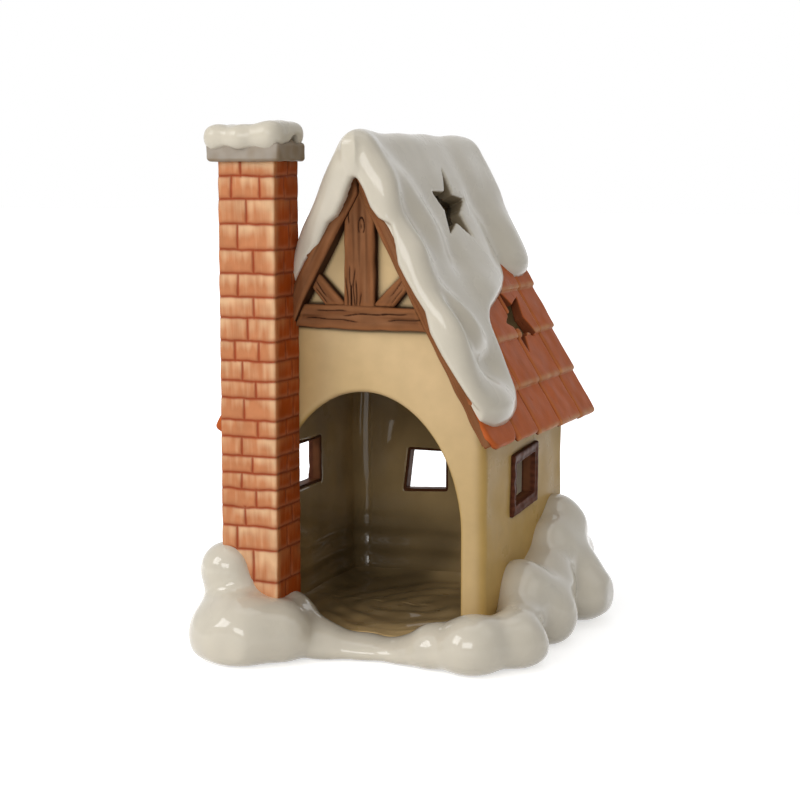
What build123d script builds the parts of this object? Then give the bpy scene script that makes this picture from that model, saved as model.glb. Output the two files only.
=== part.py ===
"""A glazed ceramic tealight house: an arched chamber for one tealight under a steep tiled roof,
with a brick chimney, timbered gables, star-shaped light holes and snow on the roof and round the foot.

Millimetres, +Z up. The origin is at the bottom centre of the whole house, and the arch faces -Y.
"""

import math
import os

from build123d import *

# Walls
wall_width = 87.4
wall_depth = 93.0
wall_thickness = 4.2
wall_corner_radius = 4.0
wall_top = 80.23
roof_pitch = 62.7
cut_overrun = 2.0

# Floor that the tealight stands on
floor_top = 6.5
floor_thickness = 4.5

# Arched doorway
arch_pier_width = 8.5
arch_spring_height = 43.0
arch_rise = 47.5

# Windows, each with a frame that lines the hole in the wall
window_rail = 3.6
window_proud = 1.2
window_lining = 1.2
side_window_width = 20.8
side_window_height = 14.5
side_window_y = 43.0
side_window_z = 56.7
back_window_width = 13.8
back_window_height = 15.5
back_window_x = 9.6
back_window_z = 49.3

# Gable timbers
bargeboard_width = 4.4
bargeboard_proud = 4.4
timber_proud = 3.0
king_post_width = 11.3
tie_beam_share = 0.3847
tie_beam_height = 7.5
brace_width = 4.6
brace_angle = 50.0
brace_foot_gap = 0.75

# Roof: a plain slab under each slope carries the relief of tile courses
roof_slab_thickness = 2.2
eave_overhang = 9.1
front_verge = 8.4
back_verge = 13.4
left_verge_taper_start = 4.5
tile_nose = 1.8
tile_head = 0.5
course_exposure = 17.9
joint_width = 1.1
joint_floor = 0.3
tile_joint_shares = (0.223, 0.4155, 0.629, 0.844)

# Star-shaped light holes, two through each slope
star_tips = 5
star_tip_radius = 13.5
star_inner_radius = 6.0
upper_star_y = 48.0
upper_star_below_ridge = 15.3
upper_star_turn = -7.0
lower_star_y = 71.0
lower_star_rise = 42.0
lower_star_turn = 20.0

# Snow on the roof
roof_snow_thickness = 4.6
roof_snow_edge_radius = 3.2
roof_snow_front_overhang = 3.0
roof_snow_back_overhang = 0.8
roof_snow_above_gable = 15.5
roof_snow_lobe_radius = 12.0

# Chimney
chimney_width = 20.6
chimney_depth = 18.7
chimney_above_gable = 3.5
chimney_wall = 4.5
chimney_left_proud = 0.7
brick_courses = 21
mortar_width = 1.1
mortar_depth = 0.6
cap_overhang = 3.4
cap_height = 6.6
cap_edge_radius = 1.2
cap_snow_height = 8.0
cap_snow_edge_radius = 4.6
cap_snow_corner_radius = 6.0

# Snow round the foot: how far it reaches out from each wall, and how high it lies there
left_reach = 18.5
right_reach = 25.5
front_reach = 39.0
back_reach = 20.0
left_drift_height = 36.0
right_drift_height = 45.0
front_drift_height = 36.0
back_drift_height = 30.0
stem_share = 0.85
link_share = 0.9
left_seam_share = 0.33
right_seam_share = 0.82

# Lobes of the foot snow. Each row gives four shares: along the wall's run, of the reach to the lobe's
# centre, of the drift's height to its top, and of the reach for its radius.
right_lobe_shares = (
    (-0.108, -0.02, 0.44, 0.46),
    (0.032, 0.40, 0.39, 0.40),
    (0.323, 0.15, 0.66, 0.44),
    (0.398, 0.37, 0.50, 0.46),
    (0.538, 0.19, 0.63, 0.45),
    (0.709, 0.10, 0.85, 0.43),
    (0.839, 0.02, 0.99, 0.43),
    (0.774, 0.29, 0.66, 0.48),
    (0.760, 0.53, 0.47, 0.47),
    (0.960, 0.07, 0.70, 0.43),
)
left_lobe_shares = (
    (0.086, 0.28, 0.72, 0.65),
    (0.280, 0.33, 0.71, 0.67),
    (0.473, 0.22, 0.82, 0.62),
    (0.667, 0.22, 0.94, 0.65),
    (0.710, 0.30, 0.64, 0.65),
    (0.860, 0.22, 1.00, 0.65),
    (0.968, 0.28, 0.67, 0.65),
)
back_lobe_shares = (
    (0.033, 0.25, 0.85, 0.62),
    (0.262, 0.25, 0.68, 0.58),
    (0.514, 0.40, 0.73, 0.60),
    (0.765, 0.30, 0.67, 0.55),
    (0.930, 0.20, 0.85, 0.60),
)
front_lobe_shares = (
    (-0.006, 0.399, 1.050, 0.228),
    (0.045, 0.299, 0.800, 0.259),
    (0.035, 0.582, 0.606, 0.346),
    (0.112, 0.663, 0.600, 0.337),
    (0.231, 0.487, 0.554, 0.305),
    (0.197, 0.155, 0.541, 0.218),
    (0.373, 0.226, 0.285, 0.244),
    (0.540, 0.124, 0.205, 0.234),
    (0.701, 0.130, 0.201, 0.230),
    (0.841, 0.204, 0.401, 0.246),
)

# Lower edge of the roof snow, from the front verge to the back one: shares of the roof's depth and slope
right_snow_edge_shares = ((0, 0.08), (0.326, 0.08), (0.343, 0.41), (0.805, 0.52), (1, 0.52))
left_snow_edge_shares = ((0, 0.30), (0.300, 0.30), (0.420, 0.50), (0.760, 0.36), (1, 0.36))

# Places that follow from the sizes above
half_width = wall_width / 2
ridge_x = (left_reach - right_reach) / 2
front_y = (front_reach - wall_depth - back_reach) / 2
back_y = front_y + wall_depth
left_x = ridge_x - half_width
right_x = ridge_x + half_width
base_width = left_reach + wall_width + right_reach
base_depth = front_reach + wall_depth + back_reach
inner_width = wall_width - 2 * wall_thickness
inner_depth = wall_depth - 2 * wall_thickness
middle_y = (front_y + back_y) / 2
pitch = math.radians(roof_pitch)
gable_rise = half_width * math.tan(pitch)
gable_height = wall_top + gable_rise
eave_x = half_width + eave_overhang * math.cos(pitch)
eave_z = wall_top - eave_overhang * math.sin(pitch)
slope_length = (gable_height - eave_z) / math.sin(pitch)
roof_depth = front_verge + wall_depth + back_verge
tile_top = roof_slab_thickness + tile_nose
snow_top = tile_top + roof_snow_thickness
arch_half_width = half_width - arch_pier_width
tie_beam_bottom = wall_top + tie_beam_share * gable_rise
upper_star_rise = slope_length - upper_star_below_ridge
chimney_height = gable_height + chimney_above_gable
chimney_x = left_x - chimney_left_proud + chimney_width / 2
chimney_y = front_y - chimney_depth / 2

# Planes that pieces are drawn on: local X runs to the right as each face is looked at from outside
front_face = Plane((ridge_x, front_y, 0), x_dir=(1, 0, 0), z_dir=(0, -1, 0))
back_face = Plane((ridge_x, back_y, 0), x_dir=(-1, 0, 0), z_dir=(0, 1, 0))
right_face = Plane((right_x, front_y, 0), x_dir=(0, 1, 0), z_dir=(1, 0, 0))
inner_section = Plane((ridge_x, back_y - wall_thickness, 0), x_dir=(1, 0, 0), z_dir=(0, -1, 0))
roof_section = Plane((ridge_x, back_y + back_verge, 0), x_dir=(1, 0, 0), z_dir=(0, -1, 0))
ridge_plane = Plane((ridge_x, 0, 0), x_dir=(0, 1, 0), z_dir=(1, 0, 0))
slope_normal = (math.sin(pitch), 0, math.cos(pitch))
slope_origin = (ridge_x + eave_x, front_y - front_verge, eave_z)
right_slope = Plane(slope_origin, x_dir=(0, 1, 0), z_dir=slope_normal)
standing = (Align.CENTER, Align.CENTER, Align.MIN)
hanging = (Align.CENTER, Align.CENTER, Align.MAX)
leftward = (Align.MAX, Align.CENTER, Align.MIN)
upright = (Align.CENTER, Align.MIN)

os.makedirs("parts", exist_ok=True)


def write(part, name):
    """Labels a finished piece and writes it to its own file."""
    part.label = name
    export_step(part, f"parts/{name}.step")


def mirrored(part):
    """The same piece on the other side of the ridge."""
    return mirror(part, about=ridge_plane, mode=Mode.PRIVATE)


# The solid outline of the walls, which the foot snow lies against
with BuildPart() as house_block:
    with BuildSketch() as house_plan:
        with Locations((ridge_x, middle_y)):
            Rectangle(wall_width, wall_depth)
        fillet(house_plan.vertices(), wall_corner_radius)
    extrude(amount=wall_top)

# The solid outline of the chimney, which the roof and the snow stop against
with BuildPart() as chimney_block:
    with Locations((chimney_x, chimney_y, 0)):
        Box(chimney_width, chimney_depth, chimney_height, align=standing)


def gable_wall(face):
    """A gable wall with its two outer upright corners rounded."""
    outline = [
        (-half_width, 0),
        (half_width, 0),
        (half_width, wall_top),
        (0, gable_height),
        (-half_width, wall_top),
    ]
    with BuildPart() as wall:
        with BuildSketch(face):
            with BuildLine():
                Polyline(*outline, close=True)
            make_face()
        extrude(amount=-wall_thickness)
        outward = Axis((0, 0, 0), face.z_dir)
        fillet(wall.edges().filter_by(Axis.Z).group_by(outward)[-1], wall_corner_radius)
    return wall.part


# Front wall with the arched doorway
with BuildPart() as front_wall:
    add(gable_wall(front_face))
    with BuildSketch(front_face):
        with Locations((0, floor_top)):
            Rectangle(2 * arch_half_width, arch_spring_height - floor_top, align=upright)
        with Locations((0, arch_spring_height)):
            Ellipse(arch_half_width, arch_rise)
        with Locations((0, floor_top)):
            Rectangle(wall_width, gable_height, align=upright, mode=Mode.INTERSECT)
    extrude(amount=-wall_thickness, mode=Mode.SUBTRACT)
write(front_wall.part, "front_wall")

# Back wall with one small window
with BuildPart() as back_wall:
    add(gable_wall(back_face))
    with BuildSketch(back_face):
        with Locations((back_window_x, back_window_z)):
            Rectangle(back_window_width + 2 * window_lining, back_window_height + 2 * window_lining)
    extrude(amount=-wall_thickness, mode=Mode.SUBTRACT)
write(back_wall.part, "back_wall")

# Side walls between the gable walls, their tops sloped to the roof, with one window each
inner_half = half_width - wall_thickness
side_section = [
    (inner_half, 0),
    (half_width, 0),
    (half_width, wall_top),
    (inner_half, wall_top + wall_thickness * math.tan(pitch)),
]
with BuildPart() as right_wall:
    with BuildSketch(inner_section):
        with BuildLine():
            Polyline(*side_section, close=True)
        make_face()
    extrude(amount=inner_depth)
    with BuildSketch(right_face):
        with Locations((side_window_y, side_window_z)):
            Rectangle(side_window_width + 2 * window_lining, side_window_height + 2 * window_lining)
    extrude(amount=-wall_thickness, mode=Mode.SUBTRACT)
write(right_wall.part, "right_wall")
write(mirrored(right_wall.part), "left_wall")

# Floor slab, let in between the four walls
with BuildPart() as floor_slab:
    with Locations((ridge_x, middle_y, floor_top)):
        Box(inner_width, inner_depth, floor_thickness, align=hanging)
write(floor_slab.part, "floor_slab")


def window_frame(face, along, height, width, rise):
    """A window frame: rails that stand proud of the wall, and a lining through its thickness."""
    with BuildPart() as frame:
        with BuildSketch(face):
            with Locations((along, height)):
                Rectangle(width + 2 * window_rail, rise + 2 * window_rail)
        extrude(amount=window_proud)
        chamfer(frame.faces().sort_by(Axis((0, 0, 0), face.z_dir))[-1].edges(), window_proud / 2)
        with BuildSketch(face):
            with Locations((along, height)):
                Rectangle(width + 2 * window_lining, rise + 2 * window_lining)
        extrude(amount=-wall_thickness)
        with BuildSketch(face):
            with Locations((along, height)):
                Rectangle(width, rise)
        extrude(amount=wall_thickness, both=True, mode=Mode.SUBTRACT)
    return frame.part


right_frame = window_frame(right_face, side_window_y, side_window_z, side_window_width, side_window_height)
back_frame = window_frame(back_face, back_window_x, back_window_z, back_window_width, back_window_height)
write(right_frame, "right_window_frame")
write(mirrored(right_frame), "left_window_frame")
write(back_frame, "back_window_frame")

# Gable timbers: bargeboards under the roof's edge, and a tie beam, king post and braces between them
board_inner_top = gable_height - bargeboard_width / math.cos(pitch)
board_inner_foot = (board_inner_top - eave_z) / math.tan(pitch)
right_board_outline = [
    (0, gable_height),
    (eave_x, eave_z),
    (board_inner_foot, eave_z),
    (0, board_inner_top),
]
field_outline = [
    (-board_inner_foot, eave_z),
    (board_inner_foot, eave_z),
    (0, board_inner_top),
]
tie_beam_top = tie_beam_bottom + tie_beam_height


def timber(face, depth, outline):
    """A piece of relief on a gable wall, from the corners of its outline."""
    with BuildPart() as piece:
        with BuildSketch(face):
            with BuildLine():
                Polyline(*outline, close=True)
            make_face()
        extrude(amount=depth)
    return piece.part


def field_timber(face, outline, *others):
    """A timber inside the field between the bargeboards, cut where it meets the other timbers."""
    with BuildPart() as piece:
        add(timber(face, timber_proud, field_outline))
        add(timber(face, timber_proud, outline), mode=Mode.INTERSECT)
        for other in others:
            add(other, mode=Mode.SUBTRACT)
    return piece.part


def brace_outline(side):
    """Corners of a brace that leans out from the foot of the king post towards a bargeboard."""
    lean = math.radians(brace_angle)
    along = (side * math.cos(lean), math.sin(lean))
    across = (-side * math.sin(lean) * brace_width, math.cos(lean) * brace_width)
    foot = (side * (king_post_width / 2 + brace_foot_gap), tie_beam_bottom)
    head = (foot[0] + gable_height * along[0], foot[1] + gable_height * along[1])
    return [
        foot,
        head,
        (head[0] + across[0], head[1] + across[1]),
        (foot[0] + across[0], foot[1] + across[1]),
    ]


def gable_timbers(face, gable):
    """All the timbers of one gable, written as one piece each."""
    beam = field_timber(
        face,
        [
            (-half_width, tie_beam_bottom),
            (half_width, tie_beam_bottom),
            (half_width, tie_beam_top),
            (-half_width, tie_beam_top),
        ],
    )
    post = field_timber(
        face,
        [
            (-king_post_width / 2, tie_beam_top),
            (king_post_width / 2, tie_beam_top),
            (king_post_width / 2, gable_height),
            (-king_post_width / 2, gable_height),
        ],
    )
    write(beam, f"{gable}_tie_beam")
    write(post, f"{gable}_king_post")
    for side, name in ((-1, "left"), (1, "right")):
        board_outline = [(side * x, z) for x, z in right_board_outline]
        with BuildPart() as board:
            add(timber(face, bargeboard_proud, board_outline))
            with Locations((chimney_x + chimney_width / 2, chimney_y, 0)):
                Box(base_width, chimney_depth, chimney_height, align=leftward, mode=Mode.SUBTRACT)
        write(board.part, f"{gable}_{name}_bargeboard")
        write(field_timber(face, brace_outline(side), beam, post), f"{gable}_{name}_brace")


gable_timbers(front_face, "front")
gable_timbers(back_face, "back")


def slope_point(rise, height):
    """A point of the right slope's section: up the slope from the eave, and above the slab's underside."""
    across = eave_x - rise * math.cos(pitch) + height * math.sin(pitch)
    up = eave_z + rise * math.sin(pitch) + height * math.cos(pitch)
    return (across, up)


def ridge_point(height):
    """The point of the ridge at a height above the slab's underside, square to the slope."""
    return (0, gable_height + height / math.cos(pitch))


def star_points(along, rise, turn):
    """Corners of a star on a slope, with one tip up the slope before it is turned."""
    upward = math.pi / 2 + math.radians(turn)
    points = []
    for step in range(2 * star_tips):
        angle = upward + step * math.pi / star_tips
        radius = star_inner_radius if step % 2 else star_tip_radius
        points.append((along + radius * math.cos(angle), rise + radius * math.sin(angle)))
    return points


# The two star-shaped shafts that pass through everything on the right slope
star_places = (
    (upper_star_y, upper_star_rise, upper_star_turn),
    (lower_star_y, lower_star_rise, lower_star_turn),
)
with BuildPart() as star_shafts:
    for star_y, star_rise, star_turn in star_places:
        with BuildSketch(right_slope.offset(-cut_overrun)):
            with BuildLine():
                Polyline(*star_points(star_y + front_verge, star_rise, star_turn), close=True)
            make_face()
    extrude(amount=snow_top + 2 * cut_overrun)

# Roof slab of each slope, with the left one let in round the chimney
with BuildPart() as right_slab:
    with BuildSketch(roof_section):
        with BuildLine():
            Polyline(
                slope_point(0, 0),
                slope_point(0, roof_slab_thickness),
                ridge_point(roof_slab_thickness),
                ridge_point(0),
                close=True,
            )
        make_face()
    extrude(amount=roof_depth)
    add(star_shafts.part, mode=Mode.SUBTRACT)
write(right_slab.part, "right_roof_slab")

# Tile courses: each tile is thick at its nose and runs out under the course above
course_count = math.ceil(slope_length / course_exposure) + 1
tile_section = [slope_point(0, roof_slab_thickness)]
for course in range(course_count):
    tile_section.append(slope_point(course * course_exposure, tile_top))
    tile_section.append(slope_point((course + 1) * course_exposure, roof_slab_thickness + tile_head))
tile_section.append(slope_point(course_count * course_exposure, roof_slab_thickness))
with BuildPart() as right_tiles:
    with BuildSketch(roof_section):
        with BuildLine():
            Polyline(*tile_section, close=True)
        make_face()
    extrude(amount=roof_depth)
    split(bisect_by=ridge_plane, keep=Keep.TOP)
    with BuildSketch(right_slope.offset(roof_slab_thickness + joint_floor)):
        for joint_share in tile_joint_shares:
            with Locations((joint_share * roof_depth, slope_length / 2)):
                Rectangle(joint_width, 2 * slope_length)
    extrude(amount=tile_nose, mode=Mode.SUBTRACT)
    add(star_shafts.part, mode=Mode.SUBTRACT)
write(right_tiles.part, "right_roof_tiles")


def roof_snow(edge_shares):
    """A blanket of snow on the right slope: it rolls over both verges and lies close on the tiles."""
    front_edge = -roof_snow_front_overhang
    back_edge = roof_depth + roof_snow_back_overhang
    lower = [(share * roof_depth, rise_share * slope_length) for share, rise_share in edge_shares]
    lower[0] = (front_edge, lower[0][1])
    lower[-1] = (back_edge, lower[-1][1])
    past_ridge = 2 * slope_length
    with BuildPart() as snow:
        with BuildSketch(right_slope) as outline:
            with BuildLine():
                Polyline((front_edge, past_ridge), *lower, (back_edge, past_ridge), close=True)
            make_face()
            fillet(outline.vertices().sort_by(Axis.Y)[:-2], roof_snow_lobe_radius)
        extrude(amount=snow_top)
        split(bisect_by=ridge_plane, keep=Keep.TOP)
        upper_face = snow.faces().sort_by(Axis((0, 0, 0), slope_normal))[-1]
        fillet(upper_face.edges().sort_by(Axis.X)[1:], roof_snow_edge_radius)
        with Locations((ridge_x, middle_y, gable_height + roof_snow_above_gable)):
            Box(wall_width, 2 * base_depth, gable_height, align=standing, mode=Mode.SUBTRACT)
        add(right_slab.part, mode=Mode.SUBTRACT)
        add(right_tiles.part, mode=Mode.SUBTRACT)
        add(star_shafts.part, mode=Mode.SUBTRACT)
    return snow.part


# What the left verge gives up beside the chimney, where it draws back to the face of the bargeboard
taper_near = (chimney_x + chimney_width / 2, front_y - bargeboard_proud)
taper_far = (ridge_x - left_verge_taper_start, front_y - front_verge - roof_snow_front_overhang)
with BuildPart() as verge_taper:
    with BuildSketch():
        with BuildLine():
            Polyline(
                taper_near,
                taper_far,
                (chimney_x, taper_far[1]),
                (chimney_x, taper_near[1]),
                close=True,
            )
        make_face()
    extrude(amount=2 * gable_height)


def beside_chimney(part):
    """The mirrored piece for the left slope, let in round the chimney."""
    with BuildPart() as left:
        add(mirrored(part))
        add(chimney_block.part, mode=Mode.SUBTRACT)
        add(verge_taper.part, mode=Mode.SUBTRACT)
    return left.part


write(roof_snow(right_snow_edge_shares), "right_roof_snow")
write(beside_chimney(right_slab.part), "left_roof_slab")
write(beside_chimney(right_tiles.part), "left_roof_tiles")
write(beside_chimney(roof_snow(left_snow_edge_shares)), "left_roof_snow")

# Chimney shaft: a hollow casting with bricks in relief, the joints of each course staggered
course_height = chimney_height / brick_courses
bed_joints = [Plane.XY.offset(course * course_height) for course in range(1, brick_courses)]
front_joints = []
side_joints = []
for course in range(brick_courses):
    centre_z = (course + 1 / 2) * course_height
    spread = chimney_width / 4 if course % 2 else 0
    side_spread = 0 if course % 2 else chimney_depth / 4
    for side in (-1, 1):
        front_joints.append((chimney_x + side * spread, front_y - chimney_depth, centre_z))
        side_x = chimney_x + side * chimney_width / 2
        side_joints.append((side_x, chimney_y - side_spread, centre_z))
        side_joints.append((side_x, chimney_y + side_spread, centre_z))
with BuildPart() as chimney_shaft:
    add(chimney_block.part)
    with BuildSketch(*bed_joints):
        with Locations((chimney_x, chimney_y)):
            Rectangle(chimney_width, chimney_depth)
            Rectangle(chimney_width - 2 * mortar_depth, chimney_depth - 2 * mortar_depth, mode=Mode.SUBTRACT)
    extrude(amount=mortar_width / 2, both=True, mode=Mode.SUBTRACT)
    with Locations(*front_joints):
        Box(mortar_width, 2 * mortar_depth, course_height, mode=Mode.SUBTRACT)
    with Locations(*side_joints):
        Box(2 * mortar_depth, mortar_width, course_height, mode=Mode.SUBTRACT)
    with Locations((chimney_x, chimney_y, 0)):
        Box(
            chimney_width - 2 * chimney_wall,
            chimney_depth - 2 * chimney_wall,
            chimney_height,
            align=standing,
            mode=Mode.SUBTRACT,
        )
write(chimney_shaft.part, "chimney_shaft")

# Chimney cap, a slab that closes the shaft and overhangs it but at the back, with a pillow of snow on it
cap_width = chimney_width + 2 * cap_overhang
cap_depth = chimney_depth + cap_overhang
cap_y = front_y - cap_depth / 2
with BuildPart() as chimney_cap:
    with Locations((chimney_x, cap_y, chimney_height)):
        Box(cap_width, cap_depth, cap_height, align=standing)
    fillet(chimney_cap.edges(), cap_edge_radius)
write(chimney_cap.part, "chimney_cap")
with BuildPart() as chimney_snow:
    with BuildSketch(Plane.XY.offset(chimney_height + cap_height)):
        with Locations((chimney_x, cap_y)):
            RectangleRounded(cap_width, cap_depth, cap_snow_corner_radius)
    extrude(amount=cap_snow_height)
    fillet(chimney_snow.faces().sort_by(Axis.Z)[-1].edges(), cap_snow_edge_radius)
write(chimney_snow.part, "chimney_snow")


def lobes(shares, corner, along, outward, run, reach, height):
    """Feet, centre heights and radii of the snow lobes along one wall, from that wall's corner."""
    placed = []
    for along_share, out_share, top_share, radius_share in shares:
        radius = radius_share * reach
        foot = Vector(*corner) + Vector(*along) * (along_share * run) + Vector(*outward) * (out_share * reach)
        placed.append((foot, top_share * height - radius, radius))
    return placed


def lobe_bodies(row):
    """A row of lobes, each a ball on a stem down to the table, with a thick link to the next one."""
    bodies = []
    centres = []
    for foot, centre_z, radius in row:
        centre = foot + Vector(0, 0, centre_z)
        centres.append(centre)
        bodies.append(Pos(centre) * Sphere(radius))
        if centre_z > 0:
            bodies.append(Pos(foot) * Cylinder(stem_share * radius, centre_z, align=standing))
    for step in range(len(row) - 1):
        span = centres[step + 1] - centres[step]
        link_radius = link_share * min(row[step][2], row[step + 1][2])
        bodies.append(Plane(centres[step], z_dir=span) * Cylinder(link_radius, span.length, align=standing))
    return bodies


front_corner = (left_x, front_y, 0)
right_corner = (right_x, front_y, 0)
back_corner = (left_x, back_y, 0)
to_right = (1, 0, 0)
to_left = (-1, 0, 0)
to_back = (0, 1, 0)
to_front = (0, -1, 0)
lobe_rows = {
    "front": lobes(
        front_lobe_shares, front_corner, to_right, to_front, wall_width, front_reach, front_drift_height
    ),
    "right": lobes(
        right_lobe_shares, right_corner, to_back, to_right, wall_depth, right_reach, right_drift_height
    ),
    "left": lobes(
        left_lobe_shares, front_corner, to_back, to_left, wall_depth, left_reach, left_drift_height
    ),
    "back": lobes(
        back_lobe_shares, back_corner, to_right, to_back, wall_width, back_reach, back_drift_height
    ),
}

# Snow round the foot in five castings: the rows of lobes in each, and the seams it lies between
left_seam = left_x + left_seam_share * wall_width
right_seam = left_x + right_seam_share * wall_width
far_x = base_width / 2 + cut_overrun
far_y = base_depth / 2 + cut_overrun
drift_regions = {
    "chimney_drift": (("front",), (-far_x, left_seam), (-far_y, front_y)),
    "front_snow_rim": (("front",), (left_seam, right_seam), (-far_y, front_y)),
    "right_drift": (("front", "right"), (right_seam, far_x), (-far_y, back_y)),
    "left_drift": (("left",), (-far_x, left_seam), (front_y, back_y)),
    "back_drift": (("left", "right", "back"), (-far_x, far_x), (back_y, far_y)),
}
for drift_name, (row_names, (low_x, high_x), (low_y, high_y)) in drift_regions.items():
    with BuildPart() as drift:
        for row_name in row_names:
            add(lobe_bodies(lobe_rows[row_name]))
        split(bisect_by=Plane.XY, keep=Keep.TOP)
        add(house_block.part, mode=Mode.SUBTRACT)
        add(chimney_block.part, mode=Mode.SUBTRACT)
        with Locations(((low_x + high_x) / 2, (low_y + high_y) / 2, 0)):
            Box(high_x - low_x, high_y - low_y, gable_height, align=standing, mode=Mode.INTERSECT)
    write(drift.part, drift_name)
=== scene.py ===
"""A glazed ceramic tealight house in snow, sculpted piece by piece over its construction model.

Shapes are worked out in millimetres as distance fields, skinned, painted point by point and then
glazed. The frame is the part's own: +Z up, the arch faces -Y.
"""

import math

import bpy
import numpy as np
import openvdb
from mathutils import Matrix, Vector


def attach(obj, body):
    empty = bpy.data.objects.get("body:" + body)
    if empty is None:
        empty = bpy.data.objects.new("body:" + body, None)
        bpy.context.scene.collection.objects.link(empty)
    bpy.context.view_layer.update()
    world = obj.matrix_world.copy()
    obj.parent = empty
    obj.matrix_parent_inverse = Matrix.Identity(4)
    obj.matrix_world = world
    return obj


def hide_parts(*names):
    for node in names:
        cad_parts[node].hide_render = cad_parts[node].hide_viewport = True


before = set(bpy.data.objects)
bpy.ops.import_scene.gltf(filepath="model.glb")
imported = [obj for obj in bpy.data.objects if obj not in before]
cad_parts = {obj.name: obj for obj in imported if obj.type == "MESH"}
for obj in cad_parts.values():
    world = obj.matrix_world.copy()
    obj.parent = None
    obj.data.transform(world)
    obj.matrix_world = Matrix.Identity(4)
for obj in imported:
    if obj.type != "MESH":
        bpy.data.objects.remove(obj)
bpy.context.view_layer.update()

# Sizes of the house in millimetres, as in the construction model
RIDGE_X = -3.5
FRONT_Y = -37.0
BACK_Y = 56.0
HALF_WIDTH = 43.7
LEFT_X = RIDGE_X - HALF_WIDTH
RIGHT_X = RIDGE_X + HALF_WIDTH
WALL = 4.2
WALL_TOP = 80.23
PITCH = math.radians(62.7)
COS, SIN = math.cos(PITCH), math.sin(PITCH)
GABLE = WALL_TOP + HALF_WIDTH * math.tan(PITCH)
EAVE_X = HALF_WIDTH + 9.1 * COS
EAVE_Z = WALL_TOP - 9.1 * SIN
SLOPE = (GABLE - EAVE_Z) / SIN
VERGE_Y = FRONT_Y - 8.4
ROOF_DEPTH = 114.8
SLAB = 2.2
COURSE = 17.9
FLOOR = 6.5
CHIMNEY_LOW = (-47.9, -55.7, 0.0)
CHIMNEY_HIGH = (-27.3, -37.0, 168.4)
CHIMNEY_WIDE = CHIMNEY_HIGH[0] - CHIMNEY_LOW[0]
CHIMNEY_DEEP = CHIMNEY_HIGH[1] - CHIMNEY_LOW[1]

# Stars: along the verge, up the slope and turned by degrees; the upper one is stretched along the ridge
STARS = ((55.0, 86.9, -7.0), (79.4, 42.0, 20.0))
STAR_TIP = 13.5
STAR_NOTCH = 6.0
STAR_STRETCH = 1.2

# The verge beside the chimney draws back from the gable by this much for each millimetre across
VERGE_TAPER = 0.3627
VERGE_TAPER_COS = 0.94

# Cell sizes of the skins
SNOW_CELL = 0.7
CAP_CELL = 0.35
BRICK_CELL = 0.33
WALL_CELL = 0.7
FLOOR_CELL = 0.6
FRAME_CELL = 0.3
TIMBER_CELL = 0.33
SLAB_CELL = 0.6
TILE_CELL = 0.36

# How glossy each glaze is
FOOT_GLOSS = 0.9
ROOF_GLOSS = 0.55
CAP_GLOSS = 0.3
FLOOR_GLOSS = 0.5
TILE_GLOSS = 0.04
WALL_GLOSS = 0.03
ROOM_GLOSS = 0.6


def smooth_min(a, b, k):
    """The lower of two distances, with the join rounded over about k."""
    h = np.clip(0.5 + 0.5 * (b - a) / k, 0.0, 1.0)
    return b + (a - b) * h - k * h * (1.0 - h)


def smooth_max(a, b, k):
    """The higher of two distances, with the join rounded over about k."""
    return -smooth_min(-a, -b, k)


def step_up(v, low, high):
    """0 below low, 1 above high, and a smooth rise between them."""
    h = np.clip((v - low) / (high - low), 0.0, 1.0)
    return h * h * (3.0 - 2.0 * h)


def waves(seed, size, *coords):
    """A smooth random swell of about unit height, its crests about size apart."""
    rng = np.random.default_rng(seed)
    total = 0.0
    for _ in range(7):
        direction = rng.normal(size=len(coords))
        direction *= 2 * math.pi * rng.uniform(0.7, 1.4) / (size * np.linalg.norm(direction))
        phase = rng.uniform(0, 2 * math.pi)
        total = total + np.sin(sum(d * c for d, c in zip(direction, coords)) + phase)
    return total / 3.0


def round_box(x, y, z, low, high, radius):
    """Distance to an upright box with rounded edges."""
    sides = [
        np.abs(v - (a + b) / 2) - ((b - a) / 2 - radius) for v, a, b in zip((x, y, z), low, high)
    ]
    outside = np.sqrt(sum(np.maximum(q, 0.0) ** 2 for q in sides))
    inside = np.minimum(np.maximum(np.maximum(sides[0], sides[1]), sides[2]), 0.0)
    return outside + inside - radius


def round_rectangle(a, b, low, high, radius):
    """Distance in a plane to a rectangle with rounded corners."""
    across = np.abs(a - (low[0] + high[0]) / 2) - ((high[0] - low[0]) / 2 - radius)
    up = np.abs(b - (low[1] + high[1]) / 2) - ((high[1] - low[1]) / 2 - radius)
    outside = np.sqrt(np.maximum(across, 0.0) ** 2 + np.maximum(up, 0.0) ** 2)
    return outside + np.minimum(np.maximum(across, up), 0.0) - radius


def capsule(x, y, z, start, end, radius):
    """Distance to a round bar between two points."""
    start, end = np.array(start), np.array(end)
    span = end - start
    px, py, pz = x - start[0], y - start[1], z - start[2]
    h = np.clip((px * span[0] + py * span[1] + pz * span[2]) / max(span @ span, 1e-9), 0.0, 1.0)
    return np.sqrt((px - h * span[0]) ** 2 + (py - h * span[1]) ** 2 + (pz - h * span[2]) ** 2) - radius


def polygon(a, b, corners):
    """Distance in a plane to the outline through corners, negative inside."""
    corners = [np.array(c, float) for c in corners]
    shape = np.broadcast(a, b).shape
    nearest = np.full(shape, 1e9)
    inside = np.zeros(shape, bool)
    for one, two in zip(corners, corners[1:] + corners[:1]):
        edge = two - one
        pa, pb = a - one[0], b - one[1]
        h = np.clip((pa * edge[0] + pb * edge[1]) / (edge @ edge), 0.0, 1.0)
        nearest = np.minimum(nearest, (pa - h * edge[0]) ** 2 + (pb - h * edge[1]) ** 2)
        crossing = (one[1] > b) != (two[1] > b)
        if edge[1] != 0:
            inside ^= crossing & (a < one[0] + (b - one[1]) * edge[0] / edge[1])
    return np.where(inside, -1.0, 1.0) * np.sqrt(nearest)


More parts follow.
